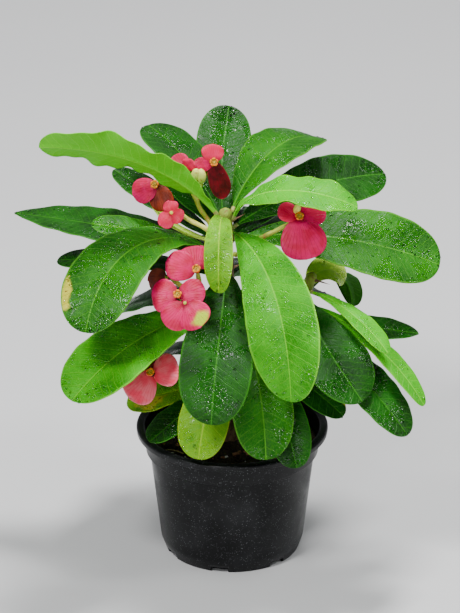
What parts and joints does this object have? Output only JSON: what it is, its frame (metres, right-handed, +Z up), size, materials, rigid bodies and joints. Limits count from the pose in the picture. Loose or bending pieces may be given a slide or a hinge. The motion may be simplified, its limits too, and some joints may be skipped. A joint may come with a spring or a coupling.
{
  "type": "crown of thorns plant in a nursery pot",
  "caption": "Thorny stemmed succulent with long arching leaves and red bracts, growing from soil in a round tapered plastic pot with a rolled lip and drainage notches.",
  "frame": {"origin": "middle of the pot's foot, on the surface that it stands on", "axes": "+Z up, +Y to the back, +X to the right of the front"},
  "size_m": [0.3067, 0.2376, 0.3429],
  "materials": {
    "pot_plastic": "black moulded plastic, satin, with dried water spots",
    "soil": "loose dark peat with perlite and bark chips",
    "bark": "rough grey brown bark with reddish thorns",
    "mature_leaf": "glossy dark green leaf, pale midrib, wet with droplets",
    "young_leaf": "glossy lime green leaf, pale midrib, wet with droplets",
    "flower_stalk": "smooth yellow green stalk with orange yellow cups",
    "bract": "velvety coral to crimson bract with fine veins"
  },
  "bodies": {
    "root": {"centre_flower_stalk": "flower_stalk", "centre_lower_bracts": "bract", "centre_middle_bracts": "bract", "centre_old_bract": "bract", "centre_upper_bracts": "bract", "leaf_back_low_left": "mature_leaf", "leaf_back_low_right": "mature_leaf", "leaf_back_lower": "mature_leaf", "leaf_back_lower_left": "mature_leaf", "leaf_back_lower_right": "mature_leaf", "leaf_back_middle": "mature_leaf", "leaf_back_middle_left": "mature_leaf", "leaf_back_middle_right": "mature_leaf", "leaf_back_right_dark": "mature_leaf", "leaf_back_upper_left": "mature_leaf", "leaf_back_upper_right": "mature_leaf", "leaf_centre_young": "young_leaf", "leaf_far_left_pointed": "mature_leaf", "leaf_front_centre_large": "mature_leaf", "leaf_front_left_dark": "mature_leaf", "leaf_inner_right_dark": "mature_leaf", "leaf_inner_top_left": "mature_leaf", "leaf_left_large_drooping": "mature_leaf", "leaf_left_lower_large": "mature_leaf", "leaf_left_small_dark": "mature_leaf", "leaf_left_small_lime": "young_leaf", "leaf_left_small_pale": "young_leaf", "leaf_low_front_dark": "mature_leaf", "leaf_low_front_yellow": "young_leaf", "leaf_low_left_rim": "mature_leaf", "leaf_low_left_yellow": "young_leaf", "leaf_low_right_dark": "mature_leaf", "leaf_low_right_over_rim": "mature_leaf", "leaf_right_hanging_dark": "mature_leaf", "leaf_right_large": "mature_leaf", "leaf_right_lime_lower": "young_leaf", "leaf_right_lime_narrow": "young_leaf", "leaf_right_lower_dark": "mature_leaf", "leaf_right_lowest": "mature_leaf", "leaf_right_pale_young": "young_leaf", "leaf_right_small_dark": "mature_leaf", "leaf_top_centre": "mature_leaf", "leaf_top_centre_right": "mature_leaf", "leaf_upper_back_left": "mature_leaf", "leaf_upper_left_dark": "mature_leaf", "leaf_upper_left_wavy": "young_leaf", "leaf_upper_right_lime_wavy": "young_leaf", "left_bracts": "bract", "left_flower_stalk": "flower_stalk", "left_small_bracts": "bract", "lower_bracts": "bract", "lower_flower_stalk": "flower_stalk", "pot": "pot_plastic", "right_bracts": "bract", "right_flower_stalk": "flower_stalk", "soil": "soil", "stem": "bark", "upper_bracts": "bract", "upper_flower_stalk": "flower_stalk", "upper_left_bract": "bract"}
  },
  "joints": []
}
